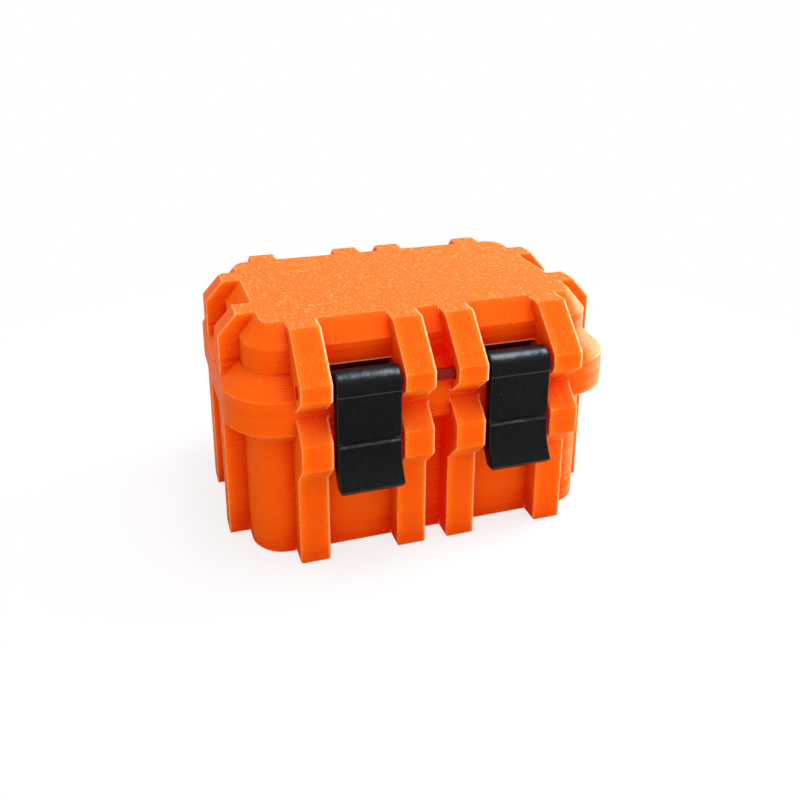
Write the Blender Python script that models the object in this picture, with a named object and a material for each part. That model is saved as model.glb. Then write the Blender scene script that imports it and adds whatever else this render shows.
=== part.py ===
"""Compact hard case: a ribbed two-part box with a pinned hinge behind and two swing latches in front.

The frame is metres with +Z up. The origin is the centre of the floor face, X runs along the case
and the latches face -Y. Every outline below is drawn as (out, up): the distance outward from the
middle of the case, and the height above the floor.
"""

import math

import bmesh
import bpy

MM = 0.001

# Box walls, for lid and base alike.
wall_half_length = 27.4 * MM
wall_half_depth = 17.9 * MM
corner_radius = 5.2 * MM
wall_thickness = 2.0 * MM
floor_thickness = 2.0 * MM
roof_thickness = 2.0 * MM
top_chamfer_in = 2.7 * MM
top_chamfer_down = 3.2 * MM
foot_chamfer = 0.35 * MM
cavity_chamfer = 1.0 * MM

# Parting plane, the lid's height over it, and the flange that runs round the case on both sides.
seam_height = 24.76 * MM
lid_height = 12.04 * MM
seam_gap = 0.2 * MM
flange_reach = 3.3 * MM
flange_above_seam = 2.14 * MM
flange_below_seam = 3.16 * MM
flange_top_slope = 2.8 * MM
flange_under_slope = 2.5 * MM

# Locating lip on the base, inside a rebate in the lid.
lip_height = 1.2 * MM
lip_thickness = 1.2 * MM
lip_gap = 0.3 * MM

# Ribs across the front and back, and on the two ends.
rib_width = 4.62 * MM
bay_width = 10.5 * MM
middle_gap = 3.42 * MM
rib_top_reach = 0.66 * MM
rib_root = 3.0 * MM
edge_round = 0.3 * MM
end_rib_spacing = 15.68 * MM
end_rib_reach = 3.1 * MM
end_rib_top_reach = 0.2 * MM
end_rib_slant = 3.2 * MM
back_rib_reach = 3.25 * MM

# Nose of a lid rib, which carries the latch rod.
nose_reach = 7.17 * MM
nose_below_top = 6.2 * MM
nose_above_seam = 3.34 * MM
chin_reach = 3.1 * MM

# Shoulder of a base rib, which carries the catch bar.
shoulder_reach = 6.8 * MM
shoulder_below_seam = 3.26 * MM
shoulder_height = 4.2 * MM
shoulder_under_slope = 3.3 * MM
foot_reach = 3.25 * MM

# Rods, cut from round stock, and their holes. The latch rod's hole is open on the left, and ends
# on the right in a short round stop that stands out of the last rib.
rod_diameter = 1.75 * MM
rod_clearance = 0.2 * MM
latch_rod_reach = 4.6 * MM
latch_rod_above_seam = 4.14 * MM
latch_rod_inset = 1.6 * MM
latch_rod_end_gap = 0.2 * MM
rod_stop_radius = 1.25 * MM
rod_stop_length = 1.45 * MM
rod_stop_wall = 0.9 * MM
hinge_rod_inset = 0.6 * MM

# Hinge behind the case.
knuckle_radius = 2.6 * MM
knuckle_gap = 0.4 * MM
lug_side_gap = 0.3 * MM

# Catch bar between the shoulders of two base ribs.
catch_reach = 3.1 * MM
catch_below_seam = 5.76 * MM
catch_radius = 1.3 * MM

# Latch, drawn from the rod's axis.
latch_side_gap = 0.45 * MM
latch_fit = 0.3 * MM
latch_edge_round = 0.4 * MM
barrel_radius = 2.5 * MM
barrel_relief = 2.3 * MM
barrel_groove_radius = 1.6 * MM
barrel_groove_reach = 0.5 * MM
barrel_groove_drop = 0.1 * MM
front_thickness = 2.3 * MM
step_depth = 0.12 * MM
step_drop = 0.7 * MM
waist_depth = 0.22 * MM
groove_depth = 0.55 * MM
groove_width = 0.9 * MM
ridge_above_bar = 1.4 * MM
lever_hollow = 0.75 * MM
lip_below_bar = 4.6 * MM
lip_reach = 1.9 * MM
lip_edge = 0.75 * MM
lever_foot = 2.0 * MM
lever_under_rise = 1.3 * MM
lip_heel = 0.9 * MM
nub_start_drop = 1.1 * MM
nub_reach = 0.45 * MM
nub_height = 0.6 * MM

# Places that follow from the sizes above.
case_height = seam_height + lid_height
lid_bottom = seam_height + seam_gap / 2
base_top = seam_height - seam_gap / 2
rib_inner_centre = (middle_gap + rib_width) / 2
rib_outer_centre = rib_inner_centre + rib_width + bay_width
bay_centre = (rib_inner_centre + rib_outer_centre) / 2
rib_centres = (-rib_outer_centre, -rib_inner_centre, rib_inner_centre, rib_outer_centre)
rib_end = rib_outer_centre + rib_width / 2
rod_radius = rod_diameter / 2
rod_hole_radius = rod_radius + rod_clearance
latch_rod_out = wall_half_depth + latch_rod_reach
latch_rod_height = seam_height + latch_rod_above_seam
latch_rod_hole_end = rib_end + rod_stop_length - rod_stop_wall
hinge_out = wall_half_depth + flange_reach + knuckle_gap + knuckle_radius
catch_out = wall_half_depth + catch_reach
catch_height = seam_height - catch_below_seam
overrun = wall_thickness
seam_angle = math.degrees(math.asin(seam_gap / 2 / knuckle_radius))

weld_distance = 0.01 * MM

# Directions in which a rib's outline faces, as turns about Z.
FRONT = -math.pi / 2
BACK = math.pi / 2
RIGHT = 0
LEFT = math.pi

CORNER_STEPS = 8
ROD_SIDES = 32
BARREL_STEPS = 28
KNUCKLE_STEPS = 12
LEVER_STEPS = 8


def clear_scene():
    for obj in list(bpy.data.objects):
        bpy.data.objects.remove(obj, do_unlink=True)


def new_collection(name, parent=None):
    collection = bpy.data.collections.new(name)
    owner = parent or bpy.context.scene.collection
    owner.children.link(collection)
    return collection


def material(name, colour, roughness, metallic=0.0):
    made = bpy.data.materials.new(name)
    made.use_nodes = True
    shader = made.node_tree.nodes["Principled BSDF"]
    shader.inputs["Base Color"].default_value = (*colour, 1.0)
    shader.inputs["Roughness"].default_value = roughness
    shader.inputs["Metallic"].default_value = metallic
    made.diffuse_color = (*colour, 1.0)
    return made


def link_mesh(name, mesh, collection, helper):
    obj = bpy.data.objects.new(name, mesh)
    collection.objects.link(obj)
    if helper:
        obj.hide_render = True
        obj.display_type = "WIRE"
    return obj


def arc(centre, radius, start, end, steps):
    """Points on a circle from one angle to another, both ends included, angles in degrees."""
    points = []
    for step in range(steps + 1):
        angle = math.radians(start + (end - start) * step / steps)
        points.append((centre[0] + radius * math.cos(angle), centre[1] + radius * math.sin(angle)))
    return points


def plate(name, outline, thickness, rounding, collection, helper=True):
    """A flat outline given a thickness, with its two outer rims rounded, as a closed mesh."""
    curve = bpy.data.curves.new(name, "CURVE")
    curve.dimensions = "2D"
    curve.fill_mode = "BOTH"
    curve.extrude = thickness / 2 - rounding
    curve.bevel_depth = rounding
    curve.bevel_resolution = 1
    curve.offset = -rounding
    spline = curve.splines.new("POLY")
    spline.points.add(len(outline) - 1)
    for point, (out, up) in zip(spline.points, outline):
        point.co = (out, up, 0, 1)
    spline.use_cyclic_u = True
    drawn = bpy.data.objects.new(name + "_outline", curve)
    collection.objects.link(drawn)
    bpy.context.view_layer.update()
    graph = bpy.context.evaluated_depsgraph_get()
    mesh = bpy.data.meshes.new_from_object(drawn.evaluated_get(graph))
    bpy.data.objects.remove(drawn, do_unlink=True)
    bm = bmesh.new()
    bm.from_mesh(mesh)
    bmesh.ops.remove_doubles(bm, verts=bm.verts, dist=weld_distance)
    bmesh.ops.recalc_face_normals(bm, faces=bm.faces)
    bm.to_mesh(mesh)
    bm.free()
    mesh.name = name
    return link_mesh(name, mesh, collection, helper)


def ring_points(half_length, half_depth, radius, height):
    """A rounded rectangle about the Z axis, at one height."""
    points = []
    for index, (side_x, side_y) in enumerate(((1, 1), (-1, 1), (-1, -1), (1, -1))):
        centre = (side_x * (half_length - radius), side_y * (half_depth - radius))
        for x, y in arc(centre, radius, 90 * index, 90 * (index + 1), CORNER_STEPS):
            points.append((x, y, height))
    return points


def ring_stack(name, rings, collection, helper=True):
    """A closed solid lofted through rounded rectangles, from the lowest ring to the highest."""
    bm = bmesh.new()
    loops = []
    for ring in rings:
        loops.append([bm.verts.new(point) for point in ring_points(*ring)])
    for lower, upper in zip(loops, loops[1:]):
        for index in range(len(lower)):
            bm.faces.new((lower[index - 1], lower[index], upper[index], upper[index - 1]))
    bm.faces.new(reversed(loops[0]))
    bm.faces.new(loops[-1])
    bmesh.ops.recalc_face_normals(bm, faces=bm.faces)
    mesh = bpy.data.meshes.new(name)
    bm.to_mesh(mesh)
    bm.free()
    return link_mesh(name, mesh, collection, helper)


def inset_ring(inset, height):
    """The wall's outline moved inward by inset, or outward where inset is negative."""
    return (wall_half_length - inset, wall_half_depth - inset, corner_radius - inset, height)


def cylinder_along_x(name, radius, left, right, out, up, turn, collection, helper=True):
    """A round bar along X, its axis at (out, up) on the front or the back of the case."""
    bm = bmesh.new()
    bmesh.ops.create_cone(
        bm,
        cap_ends=True,
        segments=ROD_SIDES,
        radius1=radius,
        radius2=radius,
        depth=right - left,
    )
    mesh = bpy.data.meshes.new(name)
    bm.to_mesh(mesh)
    bm.free()
    obj = link_mesh(name, mesh, collection, helper)
    obj.rotation_euler = (0, math.pi / 2, 0)
    obj.location = ((left + right) / 2, out * math.sin(turn), up)
    return obj


def stand(obj, turn, along):
    """Stands an outline upright, facing one side of the case, at a place along that side."""
    obj.rotation_euler = (math.pi / 2, 0, turn)
    if turn in (FRONT, BACK):
        obj.location = (along, 0, 0)
    else:
        obj.location = (0, along, 0)


def boolean(obj, operation, collection):
    modifier = obj.modifiers.new(collection.name, "BOOLEAN")
    modifier.operation = operation
    modifier.operand_type = "COLLECTION"
    modifier.collection = collection
    modifier.solver = "EXACT"
    return modifier


def finish(obj, surface, smooth_angle=30):
    obj.data.materials.clear()
    obj.data.materials.append(surface)
    obj.data.shade_smooth()
    obj.data.set_sharp_from_angle(angle=math.radians(smooth_angle))


def base_front_rib():
    """The outline of a front rib of the base, with the shoulder that holds the catch bar."""
    shoulder_top = seam_height - shoulder_below_seam
    shoulder_bottom = shoulder_top - shoulder_height
    return [
        (wall_half_depth - rib_root, 0),
        (wall_half_depth + foot_reach, 0),
        (wall_half_depth + foot_reach, shoulder_bottom - shoulder_under_slope),
        (wall_half_depth + shoulder_reach, shoulder_bottom),
        (wall_half_depth + shoulder_reach, shoulder_top),
        (wall_half_depth + chin_reach, base_top),
        (wall_half_depth - rib_root, base_top),
    ]


def lid_front_rib():
    """The outline of a front rib of the lid, with the nose that holds the latch rod."""
    return [
        (wall_half_depth - top_chamfer_in - rib_root, lid_bottom),
        (wall_half_depth + chin_reach, lid_bottom),
        (wall_half_depth + nose_reach, seam_height + nose_above_seam),
        (wall_half_depth + nose_reach, case_height - nose_below_top),
        (wall_half_depth + rib_top_reach, case_height),
        (wall_half_depth - top_chamfer_in - rib_root, case_height),
    ]


def lid_back_rib():
    """The outline of a back rib of the lid, which ends below in a hinge knuckle."""
    back = hinge_out + knuckle_radius
    slant = back - wall_half_depth - rib_top_reach
    knuckle = arc((hinge_out, seam_height), knuckle_radius, -180 - seam_angle, 0, KNUCKLE_STEPS)
    return [
        (wall_half_depth - top_chamfer_in - rib_root, lid_bottom),
        *knuckle,
        (back, case_height - slant),
        (wall_half_depth + rib_top_reach, case_height),
        (wall_half_depth - top_chamfer_in - rib_root, case_height),
    ]


def hinge_lug():
    """The outline of a base lug: a knuckle on a gusset that runs down to the wall at 45 degrees."""
    eye = arc((hinge_out, seam_height), knuckle_radius, -45, 180 + seam_angle, KNUCKLE_STEPS)
    tangent_out, tangent_up = eye[0]
    root = wall_half_depth - rib_root / 2
    return [
        (root, tangent_up - (tangent_out - root)),
        *eye,
        (root, base_top),
    ]


def latch_outline():
    """The latch's side view, as (out, up) from the rod: barrel, front plate, ridge and lever."""
    bar_out = catch_out - latch_rod_out
    bar_up = catch_height - latch_rod_height
    back = bar_out + catch_radius + latch_fit
    front = back + front_thickness
    ridge_up = bar_up + ridge_above_bar
    groove_up = ridge_up + groove_width / 2
    lip_up = bar_up - lip_below_bar
    lip_out = front + lip_reach
    lever_run = ridge_up - lip_up
    back_angle = -90 + math.degrees(math.asin(back / barrel_radius))
    barrel = arc((0, 0), barrel_radius, 0, back_angle + 360, BARREL_STEPS)
    nub_out = back - nub_reach
    nub_up = bar_up - nub_start_drop - nub_reach * 2
    lever = []
    for step in range(LEVER_STEPS + 1):
        share = step / LEVER_STEPS
        straight = front + (lip_out - front) * share
        hollow = lever_hollow * math.sin(math.pi * share)
        lever.append((straight - hollow, ridge_up - lever_run * share))
    return [
        *barrel,
        (back, bar_up - nub_start_drop),
        (nub_out, nub_up),
        (nub_out, nub_up - nub_height),
        (lip_out - lip_edge - lever_foot - lever_under_rise / 2, lip_up - lip_edge / 2 + lever_under_rise / 2),
        (lip_out - lip_edge - lever_foot, lip_up - lip_heel),
        (lip_out - lip_edge, lip_up - lip_edge),
        *reversed(lever),
        (front - groove_depth, groove_up),
        (front - waist_depth, groove_up + groove_width / 2),
        (front - step_depth, -step_drop - step_depth),
        (front, -step_drop),
    ]


def make_base(parts, helpers, surface):
    additions = new_collection("base_additions", helpers)
    cuts = new_collection("base_cuts", helpers)
    flange_bottom = seam_height - flange_below_seam
    shell = ring_stack(
        "base_shell",
        [
            inset_ring(foot_chamfer, 0),
            inset_ring(0, foot_chamfer),
            inset_ring(0, flange_bottom - flange_under_slope),
            inset_ring(-flange_reach, flange_bottom),
            inset_ring(-flange_reach, base_top),
            inset_ring(wall_thickness - lip_thickness, base_top),
            inset_ring(wall_thickness - lip_thickness, base_top + lip_height),
        ],
        parts,
        helper=False,
    )
    for number, along in enumerate(rib_centres, 1):
        front = plate(f"base_front_rib_{number}", base_front_rib(), rib_width, edge_round, additions)
        stand(front, FRONT, along)
        plain = [
            (wall_half_depth - rib_root, 0),
            (wall_half_depth + back_rib_reach, 0),
            (wall_half_depth + back_rib_reach, base_top),
            (wall_half_depth - rib_root, base_top),
        ]
        back = plate(f"base_back_rib_{number}", plain, rib_width, edge_round, additions)
        stand(back, BACK, along)
    for side, turn in (("left", LEFT), ("right", RIGHT)):
        for number, along in enumerate((-end_rib_spacing / 2, end_rib_spacing / 2), 1):
            buried_top = seam_height - flange_below_seam / 2
            outline = [
                (wall_half_length - rib_root, 0),
                (wall_half_length + end_rib_reach, 0),
                (wall_half_length + end_rib_reach, buried_top),
                (wall_half_length - rib_root, buried_top),
            ]
            rib = plate(f"base_{side}_rib_{number}", outline, rib_width, edge_round, additions)
            stand(rib, turn, along)
    for side, along in (("left", -bay_centre), ("right", bay_centre)):
        width = bay_width - 2 * lug_side_gap
        lug = plate(f"hinge_lug_{side}", hinge_lug(), width, edge_round, additions)
        stand(lug, BACK, along)
        half = (bay_width + rib_width) / 2
        cylinder_along_x(
            f"catch_bar_{side}", catch_radius, along - half, along + half, catch_out, catch_height, FRONT, additions
        )
    ring_stack(
        "base_cavity",
        [
            inset_ring(wall_thickness + cavity_chamfer, floor_thickness),
            inset_ring(wall_thickness, floor_thickness + cavity_chamfer),
            inset_ring(wall_thickness, base_top + lip_height + overrun),
        ],
        cuts,
    )
    hole_end = rib_end + overrun
    cylinder_along_x("hinge_hole_base", rod_hole_radius, -hole_end, hole_end, hinge_out, seam_height, BACK, cuts)
    boolean(shell, "UNION", additions)
    boolean(shell, "DIFFERENCE", cuts)
    finish(shell, surface)
    return shell


def make_lid(parts, helpers, surface):
    reliefs = new_collection("lid_reliefs", helpers)
    additions = new_collection("lid_additions", helpers)
    cuts = new_collection("lid_cuts", helpers)
    flange_top = seam_height + flange_above_seam
    shell = ring_stack(
        "lid_shell",
        [
            inset_ring(-flange_reach, lid_bottom),
            inset_ring(-flange_reach, flange_top),
            inset_ring(0, flange_top + flange_top_slope),
            inset_ring(0, case_height - top_chamfer_down),
            inset_ring(top_chamfer_in, case_height),
        ],
        parts,
        helper=False,
    )
    for side, along in (("left", -bay_centre), ("right", bay_centre)):
        half = (bay_width + rib_width) / 2
        cylinder_along_x(
            f"barrel_relief_{side}",
            barrel_radius + barrel_relief,
            along - half,
            along + half,
            latch_rod_out,
            latch_rod_height,
            FRONT,
            reliefs,
        )
        cylinder_along_x(
            f"barrel_groove_{side}",
            barrel_groove_radius,
            along - half,
            along + half,
            wall_half_depth + barrel_groove_reach,
            latch_rod_height - barrel_groove_drop,
            FRONT,
            reliefs,
        )
    for number, along in enumerate(rib_centres, 1):
        front = plate(f"lid_front_rib_{number}", lid_front_rib(), rib_width, edge_round, additions)
        stand(front, FRONT, along)
        back = plate(f"lid_back_rib_{number}", lid_back_rib(), rib_width, edge_round, additions)
        stand(back, BACK, along)
    for side, turn in (("left", LEFT), ("right", RIGHT)):
        for number, along in enumerate((-end_rib_spacing / 2, end_rib_spacing / 2), 1):
            buried_foot = seam_height + flange_above_seam / 2
            outline = [
                (wall_half_length - top_chamfer_in - rib_root, buried_foot),
                (wall_half_length + end_rib_reach, buried_foot),
                (wall_half_length + end_rib_reach, case_height - end_rib_slant),
                (wall_half_length + end_rib_top_reach, case_height),
                (wall_half_length - top_chamfer_in - rib_root, case_height),
            ]
            rib = plate(f"lid_{side}_rib_{number}", outline, rib_width, edge_round, additions)
            stand(rib, turn, along)
    ceiling = case_height - roof_thickness
    inner_chamfer_share = wall_thickness / (wall_thickness + top_chamfer_in)
    inner_in = top_chamfer_in * (1 - inner_chamfer_share)
    inner_down = top_chamfer_down * (1 - inner_chamfer_share)
    rebate = wall_thickness - lip_thickness - lip_gap
    ring_stack(
        "lid_cavity",
        [
            inset_ring(rebate, lid_bottom - overrun),
            inset_ring(rebate, base_top + lip_height + lip_gap),
            inset_ring(wall_thickness, base_top + lip_height + lip_gap),
            inset_ring(wall_thickness, ceiling - inner_down),
            inset_ring(wall_thickness + inner_in, ceiling),
        ],
        cuts,
    )
    hole_end = rib_end + overrun
    cylinder_along_x(
        "rod_stop",
        rod_stop_radius,
        rib_end - rib_width / 2,
        rib_end + rod_stop_length,
        latch_rod_out,
        latch_rod_height,
        FRONT,
        additions,
    )
    cylinder_along_x(
        "latch_rod_hole",
        rod_hole_radius,
        -hole_end,
        latch_rod_hole_end,
        latch_rod_out,
        latch_rod_height,
        FRONT,
        cuts,
    )
    cylinder_along_x("hinge_hole_lid", rod_hole_radius, -hole_end, hole_end, hinge_out, seam_height, BACK, cuts)
    boolean(shell, "DIFFERENCE", reliefs)
    boolean(shell, "UNION", additions)
    boolean(shell, "DIFFERENCE", cuts)
    finish(shell, surface)
    pivot = bpy.data.objects.new("lid_hinge_axis", None)
    parts.objects.link(pivot)
    pivot.location = (0, hinge_out, seam_height)
    shell.parent = pivot
    shell.location = (0, -hinge_out, -seam_height)
    return shell


def make_latches(parts, helpers, surface, lid):
    """Two equal latches. Each one's origin lies on the latch rod, which is its joint axis."""
    cuts = new_collection("latch_cuts", helpers)
    width = bay_width - 2 * latch_side_gap
    pattern = plate("latch_left", latch_outline(), width, latch_edge_round, parts, helper=False)
    bm = bmesh.new()
    bmesh.ops.create_cone(
        bm,
        cap_ends=True,
        segments=ROD_SIDES,
        radius1=rod_hole_radius,
        radius2=rod_hole_radius,
        depth=width + 2 * overrun,
    )
    mesh = bpy.data.meshes.new("latch_hole")
    bm.to_mesh(mesh)
    bm.free()
    finish(pattern, surface)
    for name, along in (("latch_left", -bay_centre), ("latch_right", bay_centre)):
        latch = pattern
        if name != "latch_left":
            latch = link_mesh(name, pattern.data, parts, helper=False)
        latch.rotation_euler = (math.pi / 2, 0, FRONT)
        latch.location = (along, -latch_rod_out, latch_rod_height)
        latch.parent = lid
        hole = link_mesh(f"{name}_hole", mesh, cuts, helper=True)
        hole.rotation_euler = latch.rotation_euler
        hole.location = latch.location
        modifier = latch.modifiers.new("rod_hole", "BOOLEAN")
        modifier.operation = "DIFFERENCE"
        modifier.object = hole
        modifier.solver = "EXACT"


def make_rods(parts, surface, base, lid):
    latch_rod = cylinder_along_x(
        "latch_rod",
        rod_radius,
        -rib_end + latch_rod_inset,
        latch_rod_hole_end - latch_rod_end_gap,
        latch_rod_out,
        latch_rod_height,
        FRONT,
        parts,
        helper=False,
    )
    latch_rod.parent = lid
    finish(latch_rod, surface)
    hinge_rod = cylinder_along_x(
        "hinge_rod",
        rod_radius,
        -rib_end + hinge_rod_inset,
        rib_end - hinge_rod_inset,
        hinge_out,
        seam_height,
        BACK,
        parts,
        helper=False,
    )
    hinge_rod.parent = base
    finish(hinge_rod, surface)


def main():
    clear_scene()
    parts = new_collection("compact_hard_case")
    helpers = new_collection("case_cutters")
    orange = material("orange_plastic", (0.90, 0.22, 0.02), 0.42)
    black = material("black_plastic", (0.018, 0.019, 0.021), 0.38)
    rod_dark = material("rod_plastic", (0.10, 0.012, 0.008), 0.45)
    lid_orange = material("lid_orange_plastic", (0.92, 0.24, 0.03), 0.45)
    base = make_base(parts, helpers, orange)
    lid = make_lid(parts, helpers, lid_orange)
    make_latches(parts, helpers, black, lid)
    make_rods(parts, rod_dark, base, lid)
    bpy.context.view_layer.update()


main()
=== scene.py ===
"""The looks of a compact hard case: printed orange shells, two black latches and the rods they turn on."""

import math

import bmesh
import bpy
from mathutils import Matrix, Vector


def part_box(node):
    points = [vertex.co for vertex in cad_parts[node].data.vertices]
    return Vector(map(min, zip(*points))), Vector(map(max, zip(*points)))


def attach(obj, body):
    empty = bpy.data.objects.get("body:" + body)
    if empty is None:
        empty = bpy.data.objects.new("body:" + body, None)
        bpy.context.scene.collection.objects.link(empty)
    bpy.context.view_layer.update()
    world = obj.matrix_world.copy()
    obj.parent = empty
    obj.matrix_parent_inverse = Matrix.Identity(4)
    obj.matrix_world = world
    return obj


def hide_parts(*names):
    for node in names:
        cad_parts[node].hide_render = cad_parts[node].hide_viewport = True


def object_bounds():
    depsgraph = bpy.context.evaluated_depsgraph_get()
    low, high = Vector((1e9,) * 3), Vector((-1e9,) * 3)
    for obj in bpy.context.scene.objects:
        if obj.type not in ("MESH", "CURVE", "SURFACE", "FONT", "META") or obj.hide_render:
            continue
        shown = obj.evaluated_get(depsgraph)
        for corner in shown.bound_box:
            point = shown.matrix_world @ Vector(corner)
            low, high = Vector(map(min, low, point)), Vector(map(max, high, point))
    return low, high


bl_info = {
    "name": "Compact Hard Case",
    "version": (1, 0, 0),
    "blender": (4, 5, 0),
    "location": "3D Viewport > Sidebar > Hard Case",
    "description": "Finishes the printed shells, latches and rods of a compact hard case",
    "category": "Object",
}

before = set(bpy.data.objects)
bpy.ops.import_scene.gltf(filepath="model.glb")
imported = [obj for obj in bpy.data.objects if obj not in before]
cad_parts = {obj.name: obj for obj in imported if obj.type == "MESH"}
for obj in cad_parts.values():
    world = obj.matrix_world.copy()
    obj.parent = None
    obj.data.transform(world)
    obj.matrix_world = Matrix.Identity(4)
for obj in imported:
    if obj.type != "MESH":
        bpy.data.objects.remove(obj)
loaded_low, loaded_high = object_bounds()
base_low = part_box("base_shell")[0]

MM = 0.001

# The parting plane, the gap that the frame keeps there, and the finer gap that shows.
seam_height = 24.76 * MM
seam_gap = 0.2 * MM
seam_shown = 0.02 * MM

# The latch rod's axis and its hole, which ends inside a stop on the right.
rod_out = -22.5 * MM
rod_up = 28.9 * MM
rod_hole_radius = 1.075 * MM

# The round hollows behind the barrels, and the bays that hold them.
hollow_out = -18.4 * MM
hollow_up = 28.8 * MM
hollow_radius = 1.6 * MM
bay_centre = 11.58 * MM
bay_width = 10.5 * MM

# How far out the outer ribs reach, where the lid's flange is, and the top of the corner cones.
rib_end = 21.45 * MM
flange_middle = 27.6 * MM
flange_half_height = 2.6 * MM
cone_top = 29.7 * MM

# The skins: welding, and the edges that stay sharp.
weld_distance = 0.004 * MM
shortest_edge = 0.001 * MM
seam_reach = 0.003 * MM
sharp_from = math.radians(38)
evening_weight = 50

# How high the marks stand.
layer_relief = 0.04 * MM
dash_relief = 0.05 * MM
grain_relief = 0.05 * MM
speck_relief = 0.02 * MM
rod_speck_relief = 0.01 * MM
latch_streak_relief = 0.03 * MM
latch_dent_relief = 0.14 * MM
latch_groove_relief = 0.07 * MM
latch_layer_relief = 0.003 * MM

# How far red, green and blue light travel inside the orange plastic, as shares of the glow depth.
glow_reach = (1.0, 0.2, 0.03)

# The floor: its gap to the case, where it fades into the white room, and how it takes light.
floor_gap = 0.02 * MM
floor_fade = (35 * MM, 130 * MM)
floor_thrown_back = 0.72
floor_paleness = 0.75
floor_roughness = 0.9
floor_shine = 0.1

# The room: the direction of its bright side, and how bright its two sides are.
room_toward = (0.75, -0.66)
room_dim = 0.66
room_bright = 1.46

# The camera's film width in millimetres, and the nearest thing that it sees.
film_width = 36.0
nearest_seen = 1 * MM

WHITE = (1.0, 1.0, 1.0)
COOL_WHITE = (0.72, 0.88, 1.0)
WARM_WHITE = (1.0, 0.98, 0.95)
BLACK = (0.0, 0.0, 0.0)

# Each lamp's name, place, width and height, tone, and the setting that holds its power.
LAMPS = (
    ("top_lamp", (0.02, -0.03, 0.28), (0.09, 0.06), WHITE, "top_power"),
    ("sheen_lamp", (0.10, -0.02, 0.275), (0.12, 0.06), COOL_WHITE, "sheen_power"),
    ("rim_lamp", (0.24, 0.03, 0.055), (0.12, 0.20), WARM_WHITE, "rim_power"),
)


def length(name, description, default_mm, low_mm=0.0, high_mm=20.0):
    return bpy.props.FloatProperty(
        name=name,
        description=description,
        default=default_mm * MM,
        min=low_mm * MM,
        max=high_mm * MM,
        precision=5,
        unit="LENGTH",
    )


def share(name, description, default):
    return bpy.props.FloatProperty(
        name=name, description=description, default=default, min=0.0, max=1.0, subtype="FACTOR"
    )


def power(name, description, default):
    return bpy.props.FloatProperty(
        name=name, description=description, default=default, min=0.0, max=20.0, unit="POWER"
    )


def colour(name, description, default):
    return bpy.props.FloatVectorProperty(
        name=name, description=description, default=default, size=3, min=0.0, max=1.0, subtype="COLOR"
    )


def direction(name, description, default):
    return bpy.props.FloatVectorProperty(
        name=name, description=description, default=default, size=3, subtype="DIRECTION"
    )


class PrintSettings(bpy.types.PropertyGroup):
    """Marks that the printer leaves, and how fine the edges of the shells are."""

    layer_height: length("Layer height", "Height of one printed layer", 0.3, 0.05, 0.6)
    stroke_width: length("Stroke width", "Width of a raised dash on a sloping face", 0.15, 0.05, 1.0)
    stroke_spacing: length("Stroke spacing", "Distance between rows of raised dashes", 0.42, 0.1, 2.0)
    stroke_length: length("Stroke length", "Usual length of a raised dash", 0.5, 0.3, 8.0)
    grain_size: length("Grain size", "Size of the grain on the level top", 0.18, 0.1, 2.0)
    edge_round: length("Edge rounding", "Radius of the finest edges of the shells", 0.22, 0.0, 1.0)
    rim_width: length("Rim width", "Width of the pale line along the outer edges", 0.6, 0.05, 2.0)


class ShellSettings(bpy.types.PropertyGroup):
    """Colours of the orange plastic, among them painted shade, highlight and glow, and how it takes light.
    """

    body: colour("Body", "Orange of a thick wall", (0.87, 0.094, 0.0006))
    thin: colour("Thin places", "Yellower orange where light gets into an edge", (1.0, 0.172, 0.001))
    # Painted shade: this red is painted into inner corners, the crease at the cone tops and the rod's hole;
    # it also darkens pits in the top grain.
    deep: colour("Deep places", "Red of narrow gaps and inner corners", (0.70, 0.004, 0.0))
    # Besides the marks, this pale orange is the painted highlight on level and sloping faces.
    pale: colour("Pale marks", "Pale orange of raised marks and scuffs", (1.0, 0.46, 0.07))
    # Painted shade: the hollows behind the barrels are painted this maroon.
    dark: colour("Dark places", "Maroon of the hollows behind the barrels", (0.085, 0.003, 0.002))
    line: colour("Layer lines", "Lighter orange of the proud layers", (0.94, 0.23, 0.006))
    # Painted highlight: this cream lines the right-hand edges, the right end and the rims of the hollows;
    # it also colours crumbs on the level top.
    rim: colour("Rims", "Cream of the finest edges", (1.0, 0.82, 0.52))
    # Painted highlight: this yellow orange lines the outer edges.
    edge: colour("Outer edges", "Yellow orange of the outer edges", (1.0, 0.75, 0.2))
    roughness: share("Roughness", "Roughness of a printed face", 0.46)
    shine: share("Shine", "Strength of reflections, 0.5 being usual for plastic", 0.04)
    glow: share("Glow", "Share of the light that travels inside the plastic", 0.45)
    glow_depth: length("Glow depth", "How far light travels inside the plastic", 1.5, 0.1, 6.0)
    # Painted glow: the right-hand edges give off cream light of their own, on top of their painted
    # highlight.
    rim_glow: share("Rim glow", "Light that leaves the plastic at its right-hand edges", 0.28)
    # Painted glow: narrow places give off red light of their own.
    inner_glow: share("Inner glow", "Red light that comes through the plastic in narrow places", 0.18)


class LatchSettings(bpy.types.PropertyGroup):
    """Colours, fine marks and painted edge highlights of the black latches."""

    body: colour("Body", "Black of the latches", (0.0022, 0.0023, 0.0024))
    # This grey also paints the highlights along the latch edges.
    lighter_tone: colour("Scuffs", "Grey of rubbed spots and fine marks", (0.13, 0.15, 0.165))
    roughness: share("Roughness", "Roughness of the plastic", 0.36)
    shine: share("Shine", "Strength of reflections, 0.5 being usual for plastic", 0.075)
    edge_round: length("Edge rounding", "Radius of the finest edges", 0.25, 0.0, 1.0)
    crease_place: length("Crease place", "Height of the fine line under the barrel", 28.3, 20.0, 30.0)
    crease_width: length("Crease width", "Width of the fine line under the barrel", 0.11, 0.02, 0.5)


class RodSettings(bpy.types.PropertyGroup):
    """Colours and finish of the two rods."""

    body: colour("Body", "Dark red of the rods", (0.20, 0.004, 0.002))
    lighter_tone: colour("Scuffs", "Lighter red of small marks", (0.34, 0.02, 0.01))
    roughness: share("Roughness", "Least roughness of the plastic", 0.3)
    shine: share("Shine", "Strength of reflections, 0.5 being usual for plastic", 0.12)


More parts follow.
